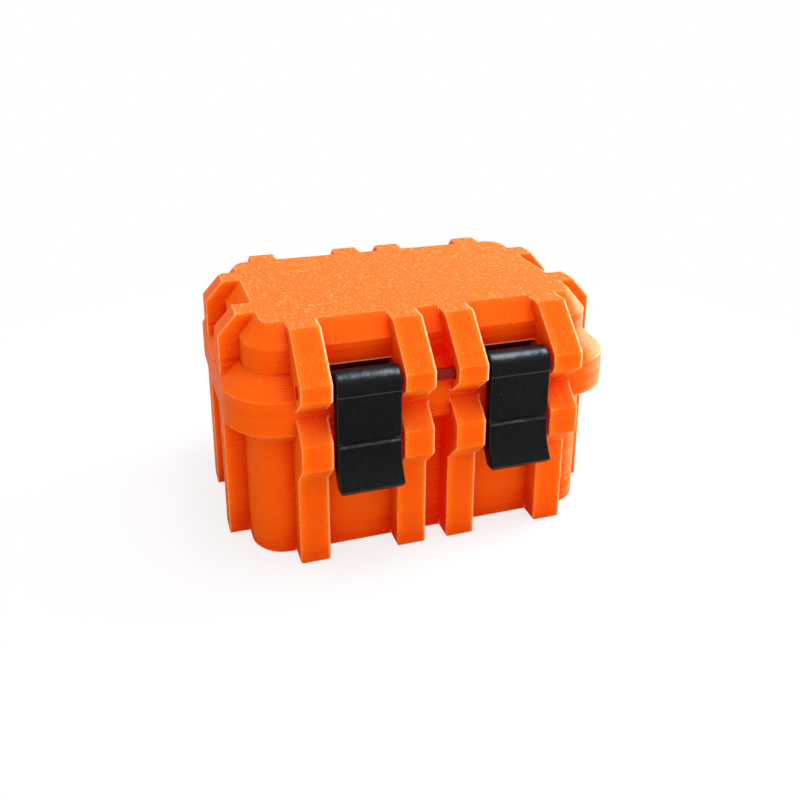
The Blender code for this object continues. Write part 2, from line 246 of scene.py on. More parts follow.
class StudioSettings(bpy.types.PropertyGroup):
    """Camera, floor, lamps and room."""

    camera_place: bpy.props.FloatVectorProperty(
        name="Camera place",
        description="Where the camera stands",
        default=(-0.04195, -0.13093, 0.08164),
        size=3,
        subtype="TRANSLATION",
        unit="LENGTH",
    )
    camera_right: direction("Camera right", "Where the picture's right side is", (0.9511, -0.3090, 0.0044))
    camera_up: direction("Camera up", "Where the picture's top side is", (0.0966, 0.3110, 0.9455))
    lens: bpy.props.FloatProperty(
        name="Lens",
        description="Focal length in millimetres",
        default=39.36,
        min=10.0,
        max=200.0,
        unit="CAMERA",
    )
    picture_shift: bpy.props.FloatProperty(
        name="Picture shift", description="Upward shift of the picture", default=-0.137, min=-0.5, max=0.5
    )
    floor_size: length("Floor size", "Half the width of the floor", 900, 100, 3000)
    floor_white: share("Floor white", "Whiteness of the floor", 0.9)
    top_power: power("Top lamp", "Power of the lamp overhead", 0.14)
    sheen_power: power("Sheen lamp", "Power of the lamp overhead that only the latches reflect", 3.4)
    rim_power: power("Rim lamp", "Power of the lamp behind on the right", 1.35)
    room_light: bpy.props.FloatProperty(
        name="Room light", description="Light from all round", default=1.0, min=0.0, max=5.0
    )


# Node trees


class Sheet:
    """A shader node tree, with a short call for each kind of node that the finishes use."""

    def __init__(self, tree):
        self.tree = tree

    def add(self, kind, **settings):
        """Adds a node; the settings are its own fields, such as an operation."""
        made = self.tree.nodes.new(kind)
        for field, value in settings.items():
            setattr(made, field, value)
        return made

    def feed(self, value, socket):
        """Gives a socket a link from another socket, or a plain value."""
        if isinstance(value, bpy.types.NodeSocket):
            self.tree.links.new(value, socket)
        elif socket.type == "RGBA":
            socket.default_value = (*value, 1.0)
        else:
            socket.default_value = value

    def reckon(self, operation, *values):
        made = self.add("ShaderNodeMath", operation=operation)
        for value, socket in zip(values, made.inputs):
            self.feed(value, socket)
        return made.outputs[0]

    def plus(self, first, second):
        return self.reckon("ADD", first, second)

    def minus(self, first, second):
        return self.reckon("SUBTRACT", first, second)

    def times(self, first, second):
        return self.reckon("MULTIPLY", first, second)

    def over(self, first, second):
        return self.reckon("DIVIDE", first, second)

    def times_plus(self, value, factor, added):
        return self.reckon("MULTIPLY_ADD", value, factor, added)

    def larger(self, first, second):
        return self.reckon("MAXIMUM", first, second)

    def whole(self, value):
        return self.reckon("FLOOR", value)

    def size(self, value):
        return self.reckon("ABSOLUTE", value)

    def away(self, value, middle):
        """How far a value is from a middle one, to either side."""
        return self.size(self.minus(value, middle))

    def spread(self, value, low, high, to_low=0.0, to_high=1.0):
        """Maps a range onto another with soft ends, and holds the result inside it."""
        made = self.add("ShaderNodeMapRange", interpolation_type="SMOOTHSTEP")
        self.feed(value, made.inputs["Value"])
        self.feed(low, made.inputs["From Min"])
        self.feed(high, made.inputs["From Max"])
        self.feed(to_low, made.inputs["To Min"])
        self.feed(to_high, made.inputs["To Max"])
        return made.outputs["Result"]

    def noise(self, vector, scale, detail=1.0, rough=0.5):
        made = self.add("ShaderNodeTexNoise")
        self.feed(vector, made.inputs["Vector"])
        self.feed(scale, made.inputs["Scale"])
        self.feed(detail, made.inputs["Detail"])
        self.feed(rough, made.inputs["Roughness"])
        return made.outputs["Fac"]

    def split(self, vector):
        made = self.add("ShaderNodeSeparateXYZ")
        self.feed(vector, made.inputs[0])
        return made.outputs

    def join(self, x, y, z):
        made = self.add("ShaderNodeCombineXYZ")
        for value, socket in zip((x, y, z), made.inputs):
            self.feed(value, socket)
        return made.outputs[0]

    def place(self):
        """Where a point of the piece is, and which way its face looks."""
        made = self.add("ShaderNodeTexCoord")
        return made.outputs["Object"], made.outputs["Normal"]

    def from_axis(self, y, z, axis_y, axis_z):
        """Distance from an axis that runs along the case."""
        off_y = self.minus(y, axis_y)
        off_z = self.minus(z, axis_z)
        return self.reckon("SQRT", self.times_plus(off_y, off_y, self.times(off_z, off_z)))

    def tint(self, amount, first, second, kind="RGBA"):
        made = self.add("ShaderNodeMix", data_type=kind)
        self.feed(amount, made.inputs["Factor"])
        self.feed(first, made.inputs["A"])
        self.feed(second, made.inputs["B"])
        return made.outputs["Result"]

    def coats(self, paint, coats):
        """Lays coats over a first colour, each given as (mask, amount, colour)."""
        for mask, amount, top in coats:
            paint = self.tint(self.times(mask, amount), paint, tuple(top))
        return paint

    def rounded(self, radius):
        """Which way a face would look if its edges were round."""
        made = self.add("ShaderNodeBevel", samples=6)
        self.feed(radius, made.inputs["Radius"])
        return made.outputs["Normal"]

    def openness(self, reach, **settings):
        """1 where nothing stands within reach, and less the more there is."""
        made = self.add("ShaderNodeAmbientOcclusion", samples=8, **settings)
        self.feed(reach, made.inputs["Distance"])
        return made.outputs["AO"]

    def relief(self, heights, normal=None):
        """Stacks bumps, one after another, each given as (height, depth in metres)."""
        for height, depth in heights:
            made = self.add("ShaderNodeBump")
            self.feed(1.0, made.inputs["Strength"])
            self.feed(depth, made.inputs["Distance"])
            self.feed(height, made.inputs["Height"])
            if normal is not None:
                self.feed(normal, made.inputs["Normal"])
            normal = made.outputs["Normal"]
        return normal

    def group(self, name, **values):
        """Places a node group with this material's own values."""
        made = self.add("ShaderNodeGroup", node_tree=bpy.data.node_groups[name])
        for label, value in values.items():
            made.inputs[label.replace("_", " ")].default_value = value
        return made.outputs


def new_group(name, inputs, outputs):
    """An empty node group. Its inputs, given with their usual values, and its outputs are plain numbers."""
    tree = bpy.data.node_groups.new(name, "ShaderNodeTree")
    for label, usual in inputs.items():
        socket = tree.interface.new_socket(name=label, in_out="INPUT", socket_type="NodeSocketFloat")
        socket.default_value = usual
    for label in outputs:
        tree.interface.new_socket(name=label, in_out="OUTPUT", socket_type="NodeSocketFloat")
    sheet = Sheet(tree)
    return sheet, sheet.add("NodeGroupInput").outputs, sheet.add("NodeGroupOutput").inputs


def build_layers_group():
    """Layer lines on steep faces and corner cones: ridges a layer apart, some prouder than others."""
    steep_faces = (0.6, 0.4)
    cone_faces = (0.97, 0.85)
    cone_fade = 0.2 * MM
    wander_scale = 220.0
    patch_scale = 45.0
    proud_scale = 0.83
    proud_layers = (0.38, 0.64)
    least_proud = 0.1

    sheet, given, out = new_group("printed_layers", {"Layer Height": 0.2 * MM, "Waver": 0.35}, ["Lines"])
    point, facing = sheet.place()
    x, y, z = sheet.split(point)
    upward = sheet.size(sheet.split(facing)[2])
    past_ribs = sheet.spread(sheet.size(x), rib_end, rib_end + cone_fade)
    on_cones = sheet.times(sheet.spread(upward, *cone_faces), past_ribs)
    steep = sheet.larger(sheet.spread(upward, *steep_faces), on_cones)

    layer = sheet.over(z, given["Layer Height"])
    wandering = sheet.times_plus(sheet.noise(point, wander_scale), given["Waver"], layer)
    wave = sheet.reckon("SINE", sheet.times(wandering, 2 * math.pi))
    ridge = sheet.times_plus(wave, 0.5, 0.5)
    patch = sheet.join(sheet.times(x, patch_scale), sheet.times(y, patch_scale), sheet.whole(layer))
    proud = sheet.noise(patch, proud_scale, detail=2.0, rough=0.6)
    lines = sheet.times(ridge, sheet.spread(proud, *proud_layers, least_proud, 1.0))
    sheet.feed(sheet.times(lines, steep), out["Lines"])


def build_strokes_group():
    """Fine raised dashes that run slantwise down sloping faces, and the grain and hairs of level ones."""
    level_faces = (0.93, 0.99)
    sloping_faces = (0.25, 0.5)
    bend_scale = 260.0

    sheet, given, out = new_group(
        "printed_strokes",
        {
            "Stroke Width": 0.16 * MM,
            "Stroke Spacing": 0.42 * MM,
            "Stroke Length": 0.8 * MM,
            "Grain Size": 0.26 * MM,
        },
        ["Dashes", "Grain", "Hairs", "Level", "Sloping"],
    )
    point, facing = sheet.place()
    upward = sheet.size(sheet.split(facing)[2])
    level = sheet.spread(upward, *level_faces)
    sloping = sheet.minus(sheet.spread(upward, *sloping_faces), level)
    bend = sheet.noise(point, bend_scale)
    dashes = sheet.times(laid_dashes(sheet, given, point, bend), sloping)
    hairs = sheet.times(fine_hairs(sheet, point, bend), level)
    sheet.feed(sheet.times(dashes, dash_strength(sheet, point)), out["Dashes"])
    sheet.feed(top_grain(sheet, given, point), out["Grain"])
    sheet.feed(hairs, out["Hairs"])
    sheet.feed(level, out["Level"])
    sheet.feed(sloping, out["Sloping"])


def laid_dashes(sheet, given, point, bend):
    """Rows that run down a slant, and in each the stretches that stand proud, with few near the top."""
    rise_with_depth = 0.35
    slant_across, slant_along = 0.77, 0.64
    row_bend = 4.0
    row_core, row_edge = 0.6, 1.4
    shift_along, shift_aside = 7.3, 3.7
    bare_above, full_below = 35.0 * MM, 33.4 * MM
    threshold_above, threshold_change = 0.68, -0.2
    dash_end = 0.08

    x, y, z = sheet.split(point)
    rise = sheet.times_plus(y, rise_with_depth, z)
    across = sheet.times_plus(x, slant_across, sheet.times(rise, slant_along))
    along = sheet.times_plus(x, slant_along, sheet.times(rise, -slant_across))
    place_in_rows = sheet.times_plus(bend, row_bend, sheet.over(across, given["Stroke Spacing"]))
    off_middle = sheet.away(sheet.reckon("FRACT", place_in_rows), 0.5)
    half_width = sheet.over(given["Stroke Width"], sheet.times(given["Stroke Spacing"], 2.0))
    in_row = sheet.spread(off_middle, sheet.times(half_width, row_edge), sheet.times(half_width, row_core))

    row = sheet.whole(place_in_rows)
    down_row = sheet.times_plus(row, shift_along, sheet.over(along, given["Stroke Length"]))
    stretches = sheet.noise(sheet.join(down_row, sheet.times(row, shift_aside), 0.0), 1.0)
    fullness = sheet.spread(z, bare_above, full_below)
    least = sheet.times_plus(fullness, threshold_change, threshold_above)
    return sheet.times(sheet.spread(stretches, least, sheet.plus(least, dash_end)), in_row)


def dash_strength(sheet, point):
    """Strong on the ribs above the flange, faint beside them and low down, and uneven all over."""
    rib_fade = 0.3 * MM
    share_off_ribs = 0.2
    faint_below, full_above, share_below = 25 * MM, 30 * MM, 0.45
    swell_scale = 1100.0
    swell_range = (0.35, 0.65)
    least_swell = 0.35

    x, _, z = sheet.split(point)
    on_ribs = sheet.spread(sheet.size(x), rib_end + rib_fade, rib_end)
    off_flange = sheet.away(z, flange_middle)
    off_flange = sheet.spread(off_flange, flange_half_height, flange_half_height + rib_fade)
    strong = sheet.times_plus(sheet.times(on_ribs, off_flange), 1.0 - share_off_ribs, share_off_ribs)
    strong = sheet.times(strong, sheet.spread(z, faint_below, full_above, share_below, 1.0))
    swell = sheet.noise(point, swell_scale)
    return sheet.times(strong, sheet.spread(swell, *swell_range, least_swell, 1.0))


def top_grain(sheet, given, point):
    """Grain, drawn out from the front to the back."""
    drawn_out = 0.55

    x, y, z = sheet.split(point)
    longer = sheet.join(x, sheet.times(y, drawn_out), z)
    return sheet.noise(longer, sheet.over(1.0, given["Grain Size"]), detail=3.0, rough=0.7)


def fine_hairs(sheet, point, bend):
    """Thin hairs of plastic, side by side and slantwise over a level face."""
    slant_across, slant_along = 0.87, 0.5
    along_scale, across_scale = 420.0, 3400.0
    hair_bend = 9.0
    hair_range = (0.58, 0.68)

    x, y, _ = sheet.split(point)
    along = sheet.times_plus(x, slant_along, sheet.times(y, -slant_across))
    across = sheet.times_plus(x, slant_across, sheet.times(y, slant_along))
    bent = sheet.times_plus(bend, hair_bend, sheet.times(across, across_scale))
    rows = sheet.join(sheet.times(along, along_scale), bent, 0.0)
    return sheet.spread(sheet.noise(rows, 1.0), *hair_range)


def build_rims_group():
    """Masks for outer edges, for the edges on the case's right, for thin places and for inner corners,
    through which highlight, glow and shade are painted.
    """
    thin_range = (1.0, 0.45)
    corner_range = (0.88, 0.28)
    narrow_range = (0.45, 0.08)
    edge_range = (0.05, 0.3)
    rim_range = (0.3, 0.6)
    right_range = (0.06, 0.22)

    sheet, given, out = new_group(
        "rims_and_corners",
        {"Rim Width": 0.5 * MM, "Thin Depth": 1.6 * MM, "Corner Depth": 6 * MM},
        ["Rim", "Right Rim", "Thin", "Corner", "Narrow"],
    )
    thin = sheet.spread(sheet.openness(given["Thin Depth"], inside=True, only_local=True), *thin_range)
    outside = sheet.openness(given["Corner Depth"])
    sheet.feed(thin, out["Thin"])
    sheet.feed(sheet.spread(outside, *corner_range), out["Corner"])
    sheet.feed(sheet.spread(outside, *narrow_range), out["Narrow"])

    # At an edge, the rounded face leans away from the plain one, towards the edge's own side.
    lean = sheet.add("ShaderNodeVectorMath", operation="SUBTRACT")
    sheet.feed(sheet.rounded(given["Rim Width"]), lean.inputs[0])
    sheet.feed(sheet.add("ShaderNodeNewGeometry").outputs["Normal"], lean.inputs[1])
    leaning = sheet.add("ShaderNodeVectorMath", operation="LENGTH")
    sheet.feed(lean.outputs["Vector"], leaning.inputs[0])
    turned = sheet.add(
        "ShaderNodeVectorTransform", convert_from="WORLD", convert_to="OBJECT", vector_type="VECTOR"
    )
    sheet.feed(lean.outputs["Vector"], turned.inputs[0])
    near_edge = sheet.spread(thin, *edge_range)
    rim = sheet.spread(leaning.outputs["Value"], *rim_range)
    right_rim = sheet.spread(sheet.split(turned.outputs[0])[0], *right_range)
    sheet.feed(sheet.times(rim, near_edge), out["Rim"])
    sheet.feed(sheet.times(right_rim, near_edge), out["Right Rim"])


def build_specks_group():
    """Small scattered specks, and the unevenness that they come from."""
    speck_scale = 0.6
    threshold_at_none, threshold_change = 0.72, -0.3
    speck_edge = 0.08

    sheet, given, out = new_group("specks", {"Speck Size": 0.3 * MM, "Amount": 0.5}, ["Specks", "Height"])
    scale = sheet.over(speck_scale, given["Speck Size"])
    uneven = sheet.noise(sheet.place()[0], scale, detail=3.0, rough=0.65)
    least = sheet.times_plus(given["Amount"], threshold_change, threshold_at_none)
    sheet.feed(sheet.spread(uneven, least, sheet.plus(least, speck_edge)), out["Specks"])
    sheet.feed(uneven, out["Height"])


# Materials


def new_material(name):
    made = bpy.data.materials.new(name)
    made.use_nodes = True
    return made, Sheet(made.node_tree), made.node_tree.nodes["Principled BSDF"]


def fill(shader, values):
    """Sets what is the same all over a surface."""
    for label, value in values.items():
        shader.inputs[label].default_value = value


def hole_masks(sheet, point):
    """The wall of the latch rod's hole, painted as shade, and what lies clear of its mouth."""
    wall = (rod_hole_radius + 0.09 * MM, rod_hole_radius + 0.02 * MM)
    mouth = (rod_hole_radius + 0.2 * MM, rod_hole_radius + 0.5 * MM)
    closed_end = (rib_end + 1.0 * MM, rib_end + 0.7 * MM)

    x, y, z = sheet.split(point)
    off_rod = sheet.from_axis(y, z, rod_out, rod_up)
    hole_shade = sheet.times(sheet.spread(off_rod, *wall), sheet.spread(x, *closed_end))
    return hole_shade, sheet.spread(off_rod, *mouth)


def hollow_masks(sheet, point):
    """The round hollows behind the barrels, where shade is painted, and the pale ring round each, a painted
    highlight.
    """
    bay_side = (bay_width / 2 + 0.05 * MM, bay_width / 2 - 0.05 * MM)
    wall = (hollow_radius + 0.12 * MM, hollow_radius + 0.04 * MM)
    ring_edge = (hollow_radius + 0.34 * MM, hollow_radius + 0.22 * MM)

    x, y, z = sheet.split(point)
    in_bay = sheet.spread(sheet.away(sheet.size(x), bay_centre), *bay_side)
    off_hollow = sheet.from_axis(y, z, hollow_out, hollow_up)
    inside = sheet.times(sheet.spread(off_hollow, *wall), in_bay)
    with_ring = sheet.times(sheet.spread(off_hollow, *ring_edge), in_bay)
    return inside, sheet.minus(with_ring, inside)


def cone_crease(sheet, point):
    """The line where the lid's corners rise from their cones, along which shade is painted."""
    crease_height = cone_top + 0.05 * MM
    crease_edge = (0.3 * MM, 0.12 * MM)
    rib_fade = 0.2 * MM

    x, _, z = sheet.split(point)
    past_ribs = sheet.spread(sheet.size(x), rib_end, rib_end + rib_fade)
    return sheet.times(sheet.spread(sheet.away(z, crease_height), *crease_edge), past_ribs)


def right_end_sheen(sheet, point, facing, lines, strokes):
    """Painted highlight: pale marks on what faces right at the case's right end, where the light from the
    right falls.
    """
    right_faces = (0.15, 0.5)
    right_end = (rib_end + 1.0 * MM, rib_end + 4.0 * MM)
    bright_grain_range = (0.44, 0.6)

    on_right = sheet.spread(sheet.split(facing)[0], *right_faces)
    on_right = sheet.times(on_right, sheet.spread(sheet.split(point)[0], *right_end))
    grain_on_slopes = sheet.times(strokes["Sloping"], sheet.spread(strokes["Grain"], *bright_grain_range))
    return sheet.times(sheet.larger(lines, grain_on_slopes), on_right)


def orange_material(name):
    """Printed orange plastic that light travels in, with the printer's marks, painted shade in its corners
    and hollows, painted highlights on its edges, tops and slopes, and a painted glow in narrow places and
    at its right-hand edges.
    """
    seam_fade = (0.4 * MM, 0.9 * MM)
    seam_shade = (0.3 * MM, 2.0 * MM)
    high_grain, low_grain = (0.47, 0.62), (0.47, 0.36)
    crumb_range = (0.60, 0.66)
    dot_range = (0.46, 0.56)
    outer_dots, outer_least = 0.42, 0.05
    right_dots, right_least = 0.5, 0.5
    dim_below, bright_above, dim_share = 23 * MM, 27 * MM, 0.5
    uneven_share, smoother_slopes = 0.12, -0.05

    shell = bpy.context.scene.case_shell
    printing = bpy.context.scene.case_print
    made, sheet, shader = new_material(name)
    layers = sheet.group("printed_layers", Layer_Height=printing.layer_height)
    strokes = sheet.group(
        "printed_strokes",
        Stroke_Width=printing.stroke_width,
        Stroke_Spacing=printing.stroke_spacing,
        Stroke_Length=printing.stroke_length,
        Grain_Size=printing.grain_size,
    )
    rims = sheet.group("rims_and_corners", Rim_Width=printing.rim_width)
    specks = sheet.group("specks", Speck_Size=0.4 * MM, Amount=0.25)
    point, facing = sheet.place()
    z = sheet.split(point)[2]
    off_seam = sheet.away(z, seam_height)
    clear_of_seam = sheet.spread(off_seam, *seam_fade)
    hole_shade, clear_of_hole = hole_masks(sheet, point)
    hollow_shade, hollow_edge_highlight = hollow_masks(sheet, point)

    grainy = sheet.times(sheet.spread(strokes["Grain"], *high_grain), strokes["Level"])
    pitted = sheet.times(sheet.spread(strokes["Grain"], *low_grain), strokes["Level"])
    crumbs = sheet.times(sheet.spread(specks["Height"], *crumb_range), strokes["Level"])
    # Painted light: thin places, where light would come through the plastic, are painted a yellower orange.
    thin = sheet.times(rims["Thin"], sheet.spread(off_seam, *seam_shade))
    # Painted shade: a dark line along the crease at the top of the corner cones.
    crease = sheet.times(cone_crease(sheet, point), rims["Corner"])
    right_sheen = right_end_sheen(sheet, point, facing, layers["Lines"], strokes)

    dots = sheet.spread(strokes["Grain"], *dot_range)
    plain_edges = sheet.times(clear_of_seam, clear_of_hole)
    # Painted highlight: pale dots along every outer edge, kept off the seam and the mouth of the rod's
    # hole.
    outer_edge_highlight = sheet.times(rims["Rim"], sheet.times_plus(dots, outer_dots, outer_least))
    outer_edge_highlight = sheet.times(outer_edge_highlight, plain_edges)
    # Painted highlight: cream along the right-hand edges, dimmer low down.
    right_edge_highlight = sheet.times(rims["Right Rim"], sheet.times_plus(dots, right_dots, right_least))
    dimmer_below = sheet.spread(z, dim_below, bright_above, dim_share, 1.0)
    right_edge_highlight = sheet.times(right_edge_highlight, sheet.times(plain_edges, dimmer_below))

    paint = sheet.coats(
        tuple(shell.body),
        [
            (thin, 0.9, shell.thin),
            # Painted shade: inner corners are painted red.
            (rims["Corner"], 0.85, shell.deep),
            (pitted, 0.22, shell.deep),
            (crease, 1.5, shell.deep),
            (layers["Lines"], 0.22, shell.line),
            # Painted highlight: level and sloping faces are painted paler.
            (strokes["Level"], 0.10, shell.pale),
            (strokes["Sloping"], 0.04, shell.pale),
            (grainy, 0.34, shell.pale),
            (strokes["Hairs"], 0.3, shell.pale),
            (strokes["Dashes"], 0.26, shell.pale),
            (specks["Specks"], 0.2, shell.pale),
            (crumbs, 0.36, shell.rim),
            # Painted highlight on what faces right at the right end.
            (right_sheen, 0.2, shell.rim),
            (outer_edge_highlight, 1.0, shell.edge),
            (right_edge_highlight, 1.0, shell.rim),
            # Painted highlight round the rim of each hollow.
            (hollow_edge_highlight, 0.4, shell.rim),
            # Painted shade inside the rod's hole.
            (hole_shade, 0.9, shell.deep),
            # Painted shade: the hollows behind the barrels.
            (hollow_shade, 1.0, shell.dark),
        ],
    )
    sheet.feed(paint, shader.inputs["Base Color"])

    rough = sheet.times_plus(specks["Height"], uneven_share, shell.roughness - uneven_share / 2)
    sheet.feed(sheet.times_plus(strokes["Sloping"], smoother_slopes, rough), shader.inputs["Roughness"])

    # Painted glow: red light given off in narrow places outside the hollows, and cream light along the
    # right-hand edges.
    lit = sheet.times(rims["Narrow"], sheet.minus(1.0, hollow_shade))
    glow = sheet.tint(lit, BLACK, (shell.inner_glow, 0.0, 0.0))
    glow = sheet.tint(right_edge_highlight, glow, tuple(shell.rim_glow * part for part in shell.rim))
    sheet.feed(glow, shader.inputs["Emission Color"])

    plain = sheet.add("ShaderNodeNewGeometry").outputs["Normal"]
    edged = sheet.tint(clear_of_seam, plain, sheet.rounded(printing.edge_round), kind="VECTOR")
    bumps = [
        (layers["Lines"], layer_relief),
        (strokes["Dashes"], dash_relief),
        (strokes["Hairs"], dash_relief),
        (grainy, grain_relief),
        (specks["Height"], speck_relief),
    ]
    sheet.feed(sheet.relief(bumps, edged), shader.inputs["Normal"])
    fill(
        shader,
        {
            "Emission Strength": 1.0,
            "Subsurface Weight": shell.glow,
            "Subsurface Radius": glow_reach,
            "Subsurface Scale": shell.glow_depth,
            "Specular IOR Level": shell.shine,
        },
    )
    return made


def black_material(name):
    """Satin black plastic with fine upright streaks, a crease, small knocks and painted highlights along
    its edges.
    """
    streaks_across, streaks_up = 4200.0, 300.0
    rubbed_range = (0.5, 0.8)
    dent_scale = 420.0
    knock_scale = 900.0
    knock_range = (0.70, 0.78)
    crease_waver = 0.16 * MM
    crease_core = 0.3
    side_from, side_to = (0.25, 0.5), (0.98, 0.8)
    side_range, least_side = (0.4, 0.6), 0.2
    dented_share, rubbed_share = 0.16, 0.12

    latch = bpy.context.scene.case_latch
    printing = bpy.context.scene.case_print
    made, sheet, shader = new_material(name)
    layers = sheet.group("printed_layers", Layer_Height=printing.layer_height, Waver=0.2)
    specks = sheet.group("specks", Speck_Size=0.22 * MM, Amount=0.1)
    rims = sheet.group("rims_and_corners", Rim_Width=0.28 * MM)
    point, facing = sheet.place()
    x, y, z = sheet.split(point)

    streak_rows = sheet.join(sheet.times(x, streaks_across), sheet.times(z, streaks_up), y)
    streaks = sheet.noise(streak_rows, 1.0, detail=2.0, rough=0.6)
    rubbed = sheet.spread(streaks, *rubbed_range)
    dents = sheet.noise(point, dent_scale, detail=2.0)
    knocks = sheet.spread(sheet.noise(point, knock_scale), *knock_range)
    crease_height = sheet.times_plus(dents, crease_waver, latch.crease_place - crease_waver / 2)
    off_crease = sheet.away(z, crease_height)
    crease = sheet.spread(off_crease, latch.crease_width, latch.crease_width * crease_core)

    # Painted highlight: the edges between front and sides, which lean partly sideways, are painted grey,
    # and the sides themselves are left black.
    sideways = sheet.size(sheet.split(facing)[0])
    side_edge_highlight = sheet.times(sheet.spread(sideways, *side_from), sheet.spread(sideways, *side_to))
    side_edge_highlight = sheet.times(side_edge_highlight, sheet.spread(dents, *side_range, least_side, 1.0))

    paint = sheet.coats(
        tuple(latch.body),
        [
            (rubbed, 0.04, latch.lighter_tone),
            (specks["Specks"], 0.5, latch.lighter_tone),
            (crease, 0.3, latch.lighter_tone),
            # Painted highlight along the latch edges.
            (rims["Rim"], 0.5, latch.lighter_tone),
            (side_edge_highlight, 0.35, latch.lighter_tone),
        ],
    )
    sheet.feed(paint, shader.inputs["Base Color"])

    rough = sheet.times_plus(dents, dented_share, latch.roughness - dented_share / 2)
    sheet.feed(sheet.times_plus(rubbed, rubbed_share, rough), shader.inputs["Roughness"])

    sunk = sheet.minus(1.0, sheet.larger(crease, knocks))
    bumps = [
        (streaks, latch_streak_relief),
        (dents, latch_dent_relief),
        (sunk, latch_groove_relief),
        (layers["Lines"], latch_layer_relief),
    ]
    sheet.feed(sheet.relief(bumps, sheet.rounded(latch.edge_round)), shader.inputs["Normal"])
    fill(shader, {"Specular IOR Level": latch.shine})
    return made


def rod_material(name):
    """Dark red round stock with small marks."""
    uneven_share = 0.2

    rod = bpy.context.scene.case_rod
    made, sheet, shader = new_material(name)
    specks = sheet.group("specks", Speck_Size=0.2 * MM, Amount=0.3)
    paint = sheet.coats(tuple(rod.body), [(specks["Specks"], 0.3, rod.lighter_tone)])
    sheet.feed(paint, shader.inputs["Base Color"])
    rough = sheet.times_plus(specks["Height"], uneven_share, rod.roughness)
    sheet.feed(rough, shader.inputs["Roughness"])
    sheet.feed(sheet.relief([(specks["Height"], rod_speck_relief)]), shader.inputs["Normal"])
    fill(shader, {"Specular IOR Level": rod.shine})
    return made


def floor_material(white):
    """White floor that keeps a faint shadow, lights the case less than it shows and fades away."""
    made, sheet, shader = new_material("floor_white")
    seen = sheet.add("ShaderNodeLightPath").outputs["Is Camera Ray"]
    thrown_back = white * floor_thrown_back
    sheet.feed(sheet.tint(seen, (thrown_back,) * 3, (white,) * 3), shader.inputs["Base Color"])
    fill(shader, {"Roughness": floor_roughness, "Specular IOR Level": floor_shine})

    shown = sheet.add("ShaderNodeEmission")
    sheet.feed(WHITE, shown.inputs["Color"])
    paler = sheet.add("ShaderNodeMixShader")
    sheet.feed(sheet.times(seen, floor_paleness), paler.inputs["Fac"])
    sheet.feed(shader.outputs["BSDF"], paler.inputs[1])
    sheet.feed(shown.outputs["Emission"], paler.inputs[2])

    from_middle = sheet.add("ShaderNodeVectorMath", operation="LENGTH")
    sheet.feed(sheet.place()[0], from_middle.inputs[0])
    faded = sheet.add("ShaderNodeMixShader")
    sheet.feed(sheet.spread(from_middle.outputs["Value"], *floor_fade), faded.inputs["Fac"])
    sheet.feed(paler.outputs["Shader"], faded.inputs[1])
    sheet.feed(sheet.add("ShaderNodeBsdfTransparent").outputs["BSDF"], faded.inputs[2])
    sheet.feed(faded.outputs["Shader"], sheet.tree.nodes["Material Output"].inputs["Surface"])
    return made


def build_world(strength):
    """A white room that lights the case a little more from the front right than from the back left."""
    world = bpy.data.worlds.new("white_room")
    bpy.context.scene.world = world
    world.use_nodes = True
    sheet = Sheet(world.node_tree)
    shown = sheet.tree.nodes["Background"]
    sheet.feed(WHITE, shown.inputs["Color"])
    sheet.feed(1.0, shown.inputs["Strength"])

    lit = sheet.add("ShaderNodeBackground")
    sheet.feed(WHITE, lit.inputs["Color"])
    x, y, _ = sheet.split(sheet.add("ShaderNodeTexCoord").outputs["Generated"])
    toward = sheet.times_plus(x, room_toward[0], sheet.times(y, room_toward[1]))
    bright = sheet.spread(toward, -1.0, 1.0, strength * room_dim, strength * room_bright)
    sheet.feed(bright, lit.inputs["Strength"])

    both = sheet.add("ShaderNodeMixShader")
    sheet.feed(sheet.add("ShaderNodeLightPath").outputs["Is Camera Ray"], both.inputs["Fac"])
    sheet.feed(lit.outputs["Background"], both.inputs[1])
    sheet.feed(shown.outputs["Background"], both.inputs[2])
    sheet.feed(both.outputs["Shader"], sheet.tree.nodes["World Output"].inputs["Surface"])


# Skins, floor, lamps and camera


def join_collection(obj):
    bpy.context.scene.collection.objects.link(obj)
    return obj


def smooth_shading(obj):
    """Smooth across shallow edges and sharp over steep ones, with flat faces kept flat."""
    obj.data.shade_smooth()
    obj.data.set_sharp_from_angle(angle=sharp_from)
    even = obj.modifiers.new("even_normals", "WEIGHTED_NORMAL")
    even.keep_sharp = True
    even.weight = evening_weight


def surface_from_frame(node, name):
    """The node's own skin, welded so that round corners shade smoothly, and drawn together at the seam."""
    mesh = bpy.data.meshes.new(name)
    bm = bmesh.new()
    bm.from_mesh(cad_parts[node].data)
    bmesh.ops.remove_doubles(bm, verts=bm.verts, dist=weld_distance)
    bmesh.ops.dissolve_degenerate(bm, edges=bm.edges, dist=shortest_edge)
    for vert in bm.verts:
        for side in (-1, 1):
            if abs(vert.co.z - seam_height - side * seam_gap / 2) < seam_reach:
                vert.co.z = seam_height + side * seam_shown / 2
    bm.to_mesh(mesh)
    bm.free()
    loaded_normals = mesh.attributes.get("custom_normal")
    if loaded_normals is not None:
        mesh.attributes.remove(loaded_normals)
    made = join_collection(bpy.data.objects.new(name, mesh))
    smooth_shading(made)
    return made


def wear(obj, material):
    obj.data.materials.clear()
    obj.data.materials.append(material)


def add_floor(size):
    mesh = bpy.data.meshes.new("floor")
    bm = bmesh.new()
    bmesh.ops.create_grid(bm, x_segments=2, y_segments=2, size=size)
    bm.to_mesh(mesh)
    bm.free()
    floor = join_collection(bpy.data.objects.new("floor", mesh))
    floor.location = (0.0, 0.0, base_low.z - floor_gap)
    return floor


